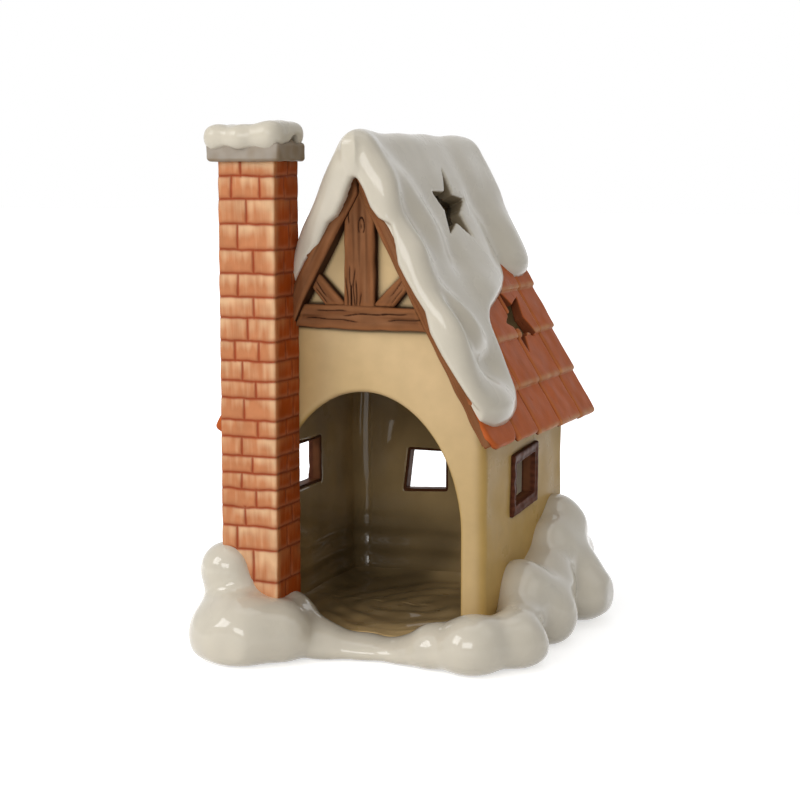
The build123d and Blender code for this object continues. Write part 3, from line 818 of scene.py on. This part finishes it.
def arch(x, z):
    """Distance to the outline of the doorway."""
    across, up = x - RIDGE_X, z - ARCH_SPRING
    ring = np.sqrt((across / ARCH_HALF) ** 2 + (up / ARCH_RISE) ** 2)
    steep = np.sqrt((across / ARCH_HALF**2) ** 2 + (up / ARCH_RISE**2) ** 2)
    curve = (ring - 1.0) * ring / np.maximum(steep, 1e-6)
    sides = np.maximum(np.abs(across) - ARCH_HALF, FLOOR - z)
    return np.where(up > 0, curve, sides)


def room(x, y):
    """Distance in plan to the space between the walls."""
    return round_rectangle(x, y, (LEFT_X + WALL, FRONT_Y + WALL), (RIGHT_X - WALL, BACK_Y - WALL), 6.0)


def below_skin(x, y):
    """Depth in plan below the walls' outer faces."""
    return np.minimum(np.minimum(x - LEFT_X, RIGHT_X - x), np.minimum(y - FRONT_Y, BACK_Y - y))


def wall_shape(x, y, z):
    plan = round_rectangle(x, y, (LEFT_X, FRONT_Y), (RIGHT_X, BACK_Y), 4.5)
    outside = plan + 0.12 + 0.16 * waves(61, 26.0, x, y, z)
    for side in (1, -1):
        outside = np.maximum(outside, to_slope(x, z, side)[1] - 0.9)
    outside = np.maximum(outside, 0.1 - z)
    ripple = 0.45 * np.sin(0.75 * z + 0.8 * waves(62, 40.0, x, y)) * step_up(-z, -34.0, -22.0)
    inside = room(x, y) + 0.25 * waves(63, 22.0, x, y, z) + ripple
    walls = np.maximum(outside, -inside)
    door = np.maximum(arch(x, z), y - FRONT_Y - 12.0)
    walls = smooth_max(walls, -door, 2.2)
    for _, face, corners in WINDOWS:
        a, b, n = on_face(face, x, y, z)
        hole = polygon(a, b, corners) - 0.6
        walls = smooth_max(walls, -np.maximum(hole, np.abs(n) - 12.0), 0.8)
    return walls


def wall_paint(own, normals):
    x, y, z = own.T
    depth = below_skin(x, y)
    # Painted shade: the walls darken towards the bottom and beside the chimney, over a random tone, and
    # their sides take a darker colour
    shade = 0.12 + 0.2 * waves(64, 45.0, x, y, z) + 0.55 * step_up(-z, -100.0, -40.0)
    shade = shade + 0.5 * step_up(-x, 16.0, 27.0)
    outer = mix(mix(CREAM, TAN, shade), WALL_SIDE_SHADE, 0.9 * step_up(np.abs(normals[:, 0]), 0.3, 0.9))
    # Painted shade: a dark line on the wall round the timbers, where they stand proud of it
    upper = (z > 105.0) & (depth < 2.5)
    line = np.full(len(x), 9.0)
    line[upper] = timber_distance(x[upper] - RIDGE_X, z[upper])
    outer = mix(outer, WOOD_GRAIN_AND_SHADE, 0.9 * np.exp(-((np.maximum(line, 0) / 0.7) ** 2)))
    # Painted shade: a dark line on the wall round each window frame
    for _, face, corners in WINDOWS:
        a, b, n = on_face(face, x, y, z)
        near = np.abs(n) < 1.5
        ring = np.full(len(x), 9.0)
        ring[near] = np.abs(polygon(a[near], b[near], corners) - 3.7)
        outer = mix(outer, WOOD_GRAIN_AND_SHADE, 0.5 * np.exp(-((ring / 0.6) ** 2)))
    # Painted shade: the inside darkens further low in the back-left corner
    corner = step_up(-np.hypot((x + 30.0) / 34.0, (y - 52.0) / 46.0), -1.2, -0.5)
    corner_shade = corner * step_up(-z, -44.0, -24.0)
    inner = INSIDE_SHADE * ((1 + 0.12 * waves(65, 18.0, x, y, z)) * (1 - 0.55 * corner_shade))[:, None]
    return mix(outer, inner, step_up(depth, 1.8, 3.2))


def wall_gloss(own):
    return WALL_GLOSS + ROOM_GLOSS * step_up(below_skin(own[:, 0], own[:, 1]), 1.8, 3.2)


sculpt(
    "wall_shell",
    wall_shape,
    (LEFT_X, FRONT_Y, 0.0),
    (RIGHT_X, BACK_Y, 168.0),
    WALL_CELL,
    wall_paint,
    wall_glaze,
    ("front_wall", "back_wall", "left_wall", "right_wall"),
    "wall_glaze",
    gloss=wall_gloss,
)


def floor_shape(x, y, z):
    middle_x, middle_y = RIDGE_X + 4.0, 10.0
    turn = np.arctan2(y - middle_y, x - middle_x)
    far = np.hypot(x - middle_x, 0.9 * (y - middle_y))
    swirl = 0.3 * np.sin(far * 0.62 + 1.2 * turn + 1.5 * waves(71, 45.0, x, y))
    wall = -room(x, y)
    cove = 3.2 * np.exp(-wall / 3.0) * step_up(y, FRONT_Y + 6.0, FRONT_Y + 18.0)
    top = z - (FLOOR + swirl * step_up(wall, 1.0, 8.0) + cove + 0.25 * waves(72, 20.0, x, y))
    slab = np.maximum(top, 2.0 - z)
    return np.maximum(slab, -wall - 2.0)


def floor_paint(own, normals):
    x, y, z = own.T
    # Painted light: the floor is lighter towards the doorway; painted shade darkens its back-left corner
    front = step_up(-y, 5.0, 34.0)
    corner_shade = step_up(-np.hypot((x + 30.0) / 30.0, (y - 40.0) / 42.0), -1.2, -0.4)
    tone = (0.95 + 0.15 * waves(73, 16.0, x, y, z) + 0.5 * front) * (1 - 0.5 * corner_shade)
    return INSIDE_SHADE * tone[:, None]


sculpt(
    "floor_slab",
    floor_shape,
    (LEFT_X + 2.0, FRONT_Y + 2.0, 2.0),
    (RIGHT_X - 2.0, BACK_Y - 2.0, 11.0),
    FLOOR_CELL,
    floor_paint,
    wall_glaze,
    ("floor_slab",),
    "floor_glaze",
    gloss=FLOOR_GLOSS,
)


# Window frames: bevelled rails round a deep reveal
def window_frame(name, face, corners, seed):
    """Carves the frame of one window round the corners of its hole."""
    low, high = np.min(corners, axis=0) - 4.0, np.max(corners, axis=0) + 4.0
    middle = np.mean(corners, axis=0)
    wide = [np.array(corner) + 2.9 * np.sign(corner - middle) for corner in corners]

    def shape(a, b, n):
        hole = polygon(a[:, :, 0], b[:, :, 0], corners)[:, :, None] + 0.15
        rim = polygon(a[:, :, 0], b[:, :, 0], wide)[:, :, None] - 0.6
        bevel = 0.35 * np.exp(-(((hole - 0.9) / 0.9) ** 2))
        rails = smooth_max(rim, n - 1.35 + bevel + 0.1 * waves(seed, 6.0, a, b), 0.9)
        rails = np.maximum(rails, -0.6 - n)
        lining = np.maximum(hole - 1.1, np.maximum(n - 0.8, -WALL + 0.1 - n))
        both = np.minimum(rails, lining)
        return smooth_max(both, -hole, 0.6)

    def paint(own, normals):
        grain = waves(seed + 1, 3.0, own[:, 0] * 0.3, own[:, 1], own[:, 2])
        colour = mix(FRAME_WOOD, 1.9 * FRAME_WOOD, 0.35 + 0.3 * grain)
        reveal = step_up(-own[:, 2], 0.2, 1.4) * step_up(own[:, 2], -3.8, -3.0)
        colour = mix(colour, 0.9 * WOOD, 0.7 * reveal)
        return mix(colour, 0.5 * WOOD, 0.8 * step_up(-own[:, 2], 3.0, 3.8))

    node = f"{name}_window_frame"
    box = ((*low, -WALL), (*high, 1.6))
    sculpt(node, shape, *box, FRAME_CELL, paint, timber_glaze, (node,), "window_glaze", face)


for number, window in enumerate(WINDOWS):
    window_frame(*window, 80 + 5 * number)


# Timbers with a little carved grain: how far each stands proud of the gable
BEAM_PROUD = 3.2
POST_PROUD = 3.1
BRACE_PROUD = 2.9
BOARD_PROUD = 4.5
PLANK_LEAST, PLANK_MOST = 4.7, 6.2


def timber(name, face, corners, proud, start, direction, cracks, seed, knot=None, keep=None):
    """Carves one timber with its cracks, proud of the gable by a height that may vary across it."""
    height = proud if callable(proud) else lambda a: proud
    direction = np.array(direction) / np.linalg.norm(direction)
    offsets = np.random.default_rng(seed).uniform(0, 6, (len(cracks), 2))

    def in_grain(a, b):
        along = (a - start[0]) * direction[0] + (b - start[1]) * direction[1]
        across = (b - start[1]) * direction[0] - (a - start[0]) * direction[1]
        return along, across

    def carving(a, b):
        along, across = in_grain(a, b)
        depth = 0.05 * (0.5 + 0.5 * np.sin(3.0 * across + 1.3 * waves(seed, 18.0, along, 3 * across)))
        for (place, begin, end), (one, two) in zip(cracks, offsets):
            path = place + 0.4 * np.sin(0.2 * along + one) + 0.18 * np.sin(0.55 * along + two)
            fade = step_up(along, begin, begin + 3.0) * step_up(-along, -end, -end + 3.0)
            depth = depth + 0.4 * fade * np.exp(-(((across - path) / 0.24) ** 2))
        if knot:
            ring = np.hypot((a - knot[0]) / 1.1, (b - knot[1]) / 2.9)
            bow = np.exp(-(((ring - 1.0) / 0.17) ** 2)) * step_up(b - knot[1], -2.6, -1.6)
            depth = depth + 0.45 * bow + 0.3 * np.exp(-((ring / 0.35) ** 2))
        return depth

    def shape(a, b, n):
        outline = polygon(a[:, :, 0], b[:, :, 0], corners)[:, :, None] + 0.1
        outline = outline + 0.15 * waves(seed + 1, 12.0, a, b)
        body = smooth_max(outline, n - height(a) + carving(a, b), 1.0)
        body = np.maximum(body, -0.8 - n)
        return np.maximum(body, -keep(a, b)) if keep else body

    def paint(own, normals):
        a, b, n = own.T
        along, across = in_grain(a, b)
        depth = carving(a, b)
        streak = waves(seed + 2, 5.0, 0.2 * along, 1.6 * across)
        colour = mix(WOOD, WOOD_PALE, 0.35 + 0.3 * streak)
        fine = waves(seed + 3, 2.2, 0.06 * along, across)
        colour = mix(colour, WOOD_GRAIN_AND_SHADE, 0.45 * step_up(fine, 0.1, 1.2))
        # Painted highlight: a lighter band just inside the timber's outline
        colour = mix(colour, WOOD_EDGE_HIGHLIGHT, 0.5 * np.exp(-(((polygon(a, b, corners) + 0.9) / 0.6) ** 2)))
        colour = mix(colour, WOOD_GRAIN_AND_SHADE, 1.1 * step_up(depth, 0.08, 0.45))
        # Painted shade: the timber's sides below its face are dark
        return mix(colour, WOOD_GRAIN_AND_SHADE, 0.92 * step_up(height(a) - 0.6 - n, 0.0, 0.8))

    low, high = np.min(corners, axis=0) - 0.5, np.max(corners, axis=0) + 0.5
    box = ((*low, -0.8), (*high, (PLANK_MOST if callable(proud) else proud) + 0.1))
    sculpt(name, shape, *box, TIMBER_CELL, paint, timber_glaze, (name,), "timber_glaze", face)


# Cracks: their place across the timber, and where they begin and end along it
BEAM_CRACKS = ((5.4, 8, 22), (4.4, 18, 36), (2.6, 4, 26), (2.9, 34, 50), (5.2, 32, 44))
POST_CRACKS = (
    (4.3, -2, 11), (3.3, -2, 15), (2.4, -2, 9), (1.5, -2, 14), (0.6, -2, 10), (-0.4, -2, 6), (3.7, 26, 34),
)
BRACE_CRACKS = ((1.4, 8, 18), (2.9, 10, 20))
BOARD_CRACKS = ((2.0, 20, 60), (3.0, 55, 90))


def plank_proud(a):
    """How far the plank beside the chimney stands out, across from the gable's middle."""
    flush = np.clip(PLANK_LEAST + VERGE_TAPER * (a + 23.8), PLANK_LEAST, PLANK_MOST)
    return flush - 1.5 * step_up(a, -11.0, -3.0)


def plank_keep(a, b):
    """Depth into what the chimney and the foot of the tie beam leave of that plank."""
    return np.minimum(a - (CHIMNEY_HIGH[0] - RIDGE_X - 0.3), b - TIE_LOW - 1.0)


def gable(name, face, front):
    """Dresses one gable with a tie beam, a king post, two braces and two bargeboards."""
    beam_start, post_start = (-25, TIE_LOW), (0, TIE_HIGH)
    timber(f"{name}_tie_beam", face, TIE_BEAM, BEAM_PROUD, beam_start, (1, 0), BEAM_CRACKS, 100)
    knot = (0.9, 147.0)
    timber(f"{name}_king_post", face, KING_POST, POST_PROUD, post_start, (0, 1), POST_CRACKS, 110, knot)
    for side, hand in ((-1, "left"), (1, "right")):
        timber(
            f"{name}_{hand}_brace",
            face,
            brace_corners(side),
            BRACE_PROUD,
            (side * 6.4, TIE_LOW),
            (side * math.cos(LEAN), math.sin(LEAN)),
            [(side * place, begin, end) for place, begin, end in BRACE_CRACKS],
            120 + side,
        )
        plank = front and side < 0
        timber(
            f"{name}_{hand}_bargeboard",
            face,
            board_corners(side, plank),
            plank_proud if plank else BOARD_PROUD,
            (side * EAVE_X, EAVE_Z),
            (-side * COS, SIN),
            [(-side * place, begin, end) for place, begin, end in BOARD_CRACKS],
            130 + side,
            keep=plank_keep if plank else None,
        )


gable("front", FRONT_FACE, True)
gable("back", BACK_FACE, False)

# Roof slabs and tiles: the tiles' joints along the verge, and a knob of clay at the left eave's front end
JOINTS = (0.0, 25.6, 47.7, 72.2, 96.9, 114.8)
COURSES = 6
COLUMNS = len(JOINTS) - 1
TILE_RISE = 4.15
EAVE_LIFT = 2.0
KNOB_LOW, KNOB_HIGH = (0.2, 1.6, 2.0), (7.0, 8.0, 6.8)


def beside_chimney(place, u, s, t):
    """Distance to what the chimney and the drawn-back verge beside it take from the left slope."""
    x = place.origin[0] + s * place.axes[1][0] + t * place.axes[2][0]
    y = place.origin[1] + u
    z = place.origin[2] + s * SIN + t * COS
    shaft = round_box(x, y, z, CHIMNEY_LOW, CHIMNEY_HIGH, 0.8) + 0.6
    taper = VERGE_TAPER_COS * (y + 41.3 + VERGE_TAPER * (x - CHIMNEY_HIGH[0]))
    taper = np.minimum(taper, y + 42.8)
    taper = np.maximum(taper, -37.6 - x)
    return np.minimum(shaft, taper)


def roof_side(name, place, seed):
    """Lays one slope's slab and its courses of tiles, cut by the stars and, on the left, by the chimney."""
    jitter = np.random.default_rng(seed).uniform(-1, 1, (8, 6, 4))

    def finish(shape, u, s, t):
        shape = smooth_max(shape, -stars(u[:, :, 0], s[:, :, 0])[:, :, None], 0.6)
        if place is LEFT_SLOPE:
            shape = np.maximum(shape, -beside_chimney(place, u, s, t))
        return shape

    def shade_star_walls(colour, own, normals):
        u, s, t = own.T
        lean = normals @ place.axes[2]
        # Painted shade: the walls of the star holes in the slab and tiles are dark, darkest in the upper
        # star
        wall = step_up(-stars(u, s), -0.7, -0.3) * step_up(-np.abs(lean), -0.75, -0.4)
        clay = mix(STAR_CLAY_SHADE, 0.35 * STAR_HOLE_SHADE, 1.0 * (s > 60.0))
        return mix(colour, clay, wall)

    def eave(u):
        return EAVE_LIFT * (1 - np.clip(u / ROOF_DEPTH, 0, 1))

    def slab_shape(u, s, t):
        slab = round_box(u, s, t, (0.2, 0.3, 0.0), (ROOF_DEPTH - 0.3, SLOPE + 1.0, SLAB + 0.4), 0.7)
        slab = np.maximum(slab, eave(u) + 0.9 - s)
        return finish(slab, u, s, t)

    def slab_paint(own, normals):
        u, s, t = own.T
        # Painted shade: the slab under the tiles is coloured as clay in shade
        colour = mix(TILE_SHADE, TILE, 0.35 + 0.25 * waves(seed + 3, 12.0, u, s, t))
        # Painted shade: the slab's underside inside the house is dark
        colour = mix(colour, 0.35 * INSIDE_SHADE, step_up(-t, -0.5, -0.1) * (u > 9.0))
        front = step_up(-normals[:, 1], 0.3, 0.7) * (u < 9.0)
        wood = mix(WOOD, WOOD_PALE, 0.35 + 0.3 * waves(seed + 5, 7.0, 0.2 * s, t))
        return shade_star_walls(mix(colour, wood, front), own, normals)

    def tile_shape(u, s, t):
        tiles = 1e3
        for course in range(COURSES):
            nose = course * COURSE
            for column in range(COLUMNS):
                shift, lift, slant, _ = jitter[course, column]
                left = JOINTS[column] + (0.3 + 0.25 * shift if column else 0.1)
                past = jitter[course, column + 1, 0]
                right = JOINTS[column + 1] - (0.3 - 0.25 * past if column < COLUMNS - 1 else -1.0)
                start = nose - 0.7 + 0.35 * shift + (eave((left + right) / 2) if course == 0 else 0.0)
                fall = t + (s - nose) * 0.075 + (u - (left + right) / 2) * 0.012 * slant - 0.006 * u
                radius = 5.5 if course == 0 and column == 0 else 1.5
                plan = round_rectangle(u, s, (left, start), (right, nose + COURSE + 3.0), radius)
                tile = smooth_max(plan + 0.1, fall - TILE_RISE - 0.12 * lift, 1.6)
                tiles = np.minimum(tiles, tile)
        if place is LEFT_SLOPE:
            tiles = smooth_min(tiles, round_box(u, s, t, KNOB_LOW, KNOB_HIGH, 1.8), 1.5)
        tiles = tiles + 0.08 * waves(seed + 1, 9.0, u, s, t)
        tiles = np.maximum(tiles, SLAB - 0.4 - t)
        tiles = np.maximum(tiles, s - SLOPE - 1.0)
        return finish(tiles, u, s, t)

    def tile_paint(own, normals):
        u, s, t = own.T
        course = np.clip((s + 0.8) // COURSE, 0, 7).astype(int)
        into = s + 0.7 - course * COURSE
        joint = np.min([np.abs(u - j) for j in JOINTS[1:-1]], axis=0)
        column = np.clip(np.searchsorted(JOINTS, u) - 1, 0, 5)
        tone = jitter[course, column, 3]
        streak = waves(seed + 2, 9.0, u, 0.3 * s)
        colour = mix(TILE, 0.8 * TILE, 0.3 + 0.25 * tone + 0.12 * streak)
        # Painted highlight: a pale band along each tile's nose and a paler edge beside each joint
        nose = np.exp(-(((into - 0.9) / 1.1) ** 2))
        colour = mix(colour, TILE_HIGHLIGHT, 0.85 * nose * (0.85 + 0.2 * streak))
        rim = np.exp(-(((joint - 1.0) / 0.6) ** 2))
        colour = mix(colour, TILE_HIGHLIGHT, 0.25 * rim)
        verge = np.exp(-((u / 2.6) ** 2)) * step_up(-s, -30.0, -6.0)
        colour = mix(colour, TILE_RIM, 0.85 * verge)
        front = step_up(-normals[:, 1], 0.3, 0.7) * (u < 9.0)
        colour = mix(colour, WOOD, front * step_up(s, 14.0, 22.0))
        # Painted shade: the tiles darken low down under each nose and deep in the joints
        in_joint = np.exp(-((joint / 0.4) ** 2)) * step_up(-t, -4.0, -3.0)
        deep = (1 - front) * step_up(-t, -2.9, -2.3) + in_joint
        return shade_star_walls(mix(colour, TILE_SHADE, 0.9 * deep * (1 - verge)), own, normals)

    slab_box = ((0, 0, 0), (ROOF_DEPTH, SLOPE + 1.0, SLAB + 0.5))
    node = f"{name}_roof_slab"
    sculpt(node, slab_shape, *slab_box, SLAB_CELL, slab_paint, tile_glaze, (node,), "roof_clay", place)
    top = 7.0 if place is LEFT_SLOPE else 5.4
    tile_box = ((0, -1.2, SLAB - 0.4), (ROOF_DEPTH + 1.2, SLOPE + 1.0, top))
    node = f"{name}_roof_tiles"
    looks = (TILE_CELL, tile_paint, tile_glaze)
    sculpt(node, tile_shape, *tile_box, *looks, (node,), "tile_glaze", place, TILE_GLOSS)


roof_side("right", RIGHT_SLOPE, 200)
roof_side("left", LEFT_SLOPE, 210)

# Camera, floor and light, in metres, degrees and watts
CAMERA_PLACE = (0.2352, -0.5990, 0.1659)
CAMERA_AZIMUTH = 21.82
CAMERA_DIP = 7.27
CAMERA_LENS = 81.3
FLOOR_HALF = 6.0
FLOOR_Z = -0.0002
PAPER = (0.9, 0.9, 0.9, 1)
PAPER_NEAR, PAPER_NEAR_GLOW = 0.06, 0.58
PAPER_FAR, PAPER_FAR_GLOW = 0.35, 1.0
WORLD_FILL, WORLD_SEEN = 0.22, 1.0
WHITE = (1, 1, 1, 1)
# Lights: where each stands, what it points at, its two sizes and its power
LIGHTS = {
    "key": ((-0.75, -0.85, 0.75), (0, 0, 0.08), 0.6, 0.6, 6.4),
    "front": ((0.15, -1.3, 0.55), (0, 0, 0.08), 0.8, 0.45, 6.1),
    "top": ((0.0, 0.1, 1.2), (0, 0, 0.1), 0.9, 0.9, 2.0),
    "side": ((0.85, 0.1, 1.0), (0, 0, 0.1), 0.6, 0.6, 0.6),
}

camera_data = bpy.data.cameras.new("camera")
camera = bpy.data.objects.new("camera", camera_data)
camera_data.lens = CAMERA_LENS
camera_data.sensor_width = 36.0
camera.location = CAMERA_PLACE
azimuth, dip = math.radians(CAMERA_AZIMUTH), math.radians(CAMERA_DIP)
look = Vector((-math.sin(azimuth) * math.cos(dip), math.cos(azimuth) * math.cos(dip), -math.sin(dip)))
camera.rotation_euler = look.to_track_quat("-Z", "Y").to_euler()
bpy.context.scene.collection.objects.link(camera)
bpy.context.scene.camera = camera


def seen_directly(nodes, links):
    """1 for rays that see a surface from the camera, in a reflection or through glass, else 0."""
    path = nodes.new("ShaderNodeLightPath")
    total = path.outputs["Is Camera Ray"]
    for kind in ("Is Glossy Ray", "Is Transmission Ray"):
        either = nodes.new("ShaderNodeMath")
        either.operation = "MAXIMUM"
        links.new(total, either.inputs[0])
        links.new(path.outputs[kind], either.inputs[1])
        total = either.outputs["Value"]
    return total


floor_mesh = bpy.data.meshes.new("floor")
ways = ((-1, -1), (1, -1), (1, 1), (-1, 1))
floor_mesh.from_pydata([(a * FLOOR_HALF, b * FLOOR_HALF, FLOOR_Z) for a, b in ways], [], [(0, 1, 2, 3)])
floor = bpy.data.objects.new("floor", floor_mesh)
bpy.context.scene.collection.objects.link(floor)
paper = bpy.data.materials.new("paper")
paper.use_nodes = True
paper_nodes, paper_links = paper.node_tree.nodes, paper.node_tree.links
sheet = paper_nodes["Principled BSDF"]
sheet.inputs["Base Color"].default_value = PAPER
sheet.inputs["Roughness"].default_value = 0.9
sheet.inputs["Emission Color"].default_value = WHITE
where = paper_nodes.new("ShaderNodeNewGeometry")
away = paper_nodes.new("ShaderNodeVectorMath")
away.operation = "LENGTH"
paper_links.new(where.outputs["Position"], away.inputs[0])
fade = paper_nodes.new("ShaderNodeMapRange")
fade.inputs["From Min"].default_value = PAPER_NEAR
fade.inputs["From Max"].default_value = PAPER_FAR
fade.inputs["To Min"].default_value = PAPER_NEAR_GLOW
fade.inputs["To Max"].default_value = PAPER_FAR_GLOW
paper_links.new(away.outputs["Value"], fade.inputs["Value"])
glow = paper_nodes.new("ShaderNodeMath")
glow.operation = "MULTIPLY"
paper_links.new(seen_directly(paper_nodes, paper_links), glow.inputs[0])
paper_links.new(fade.outputs["Result"], glow.inputs[1])
paper_links.new(glow.outputs["Value"], sheet.inputs["Emission Strength"])
floor_mesh.materials.append(paper)


def soft_light(name, place, target, width, height, power):
    """A soft rectangular light aimed at a point."""
    data = bpy.data.lights.new(name, "AREA")
    data.shape = "RECTANGLE"
    data.size = width
    data.size_y = height
    data.energy = power
    light = bpy.data.objects.new(name, data)
    light.location = place
    light.rotation_euler = (Vector(target) - Vector(place)).to_track_quat("-Z", "Y").to_euler()
    bpy.context.scene.collection.objects.link(light)


for name, values in LIGHTS.items():
    soft_light(name, *values)

world = bpy.data.worlds.new("world")
bpy.context.scene.world = world
world.use_nodes = True
world_nodes, world_links = world.node_tree.nodes, world.node_tree.links
backdrop = world_nodes["Background"]
backdrop.inputs["Color"].default_value = WHITE
strength = world_nodes.new("ShaderNodeMapRange")
strength.inputs["To Min"].default_value = WORLD_FILL
strength.inputs["To Max"].default_value = WORLD_SEEN
world_links.new(seen_directly(world_nodes, world_links), strength.inputs["Value"])
world_links.new(strength.outputs["Result"], backdrop.inputs["Strength"])
bpy.context.scene.view_settings.view_transform = "Standard"
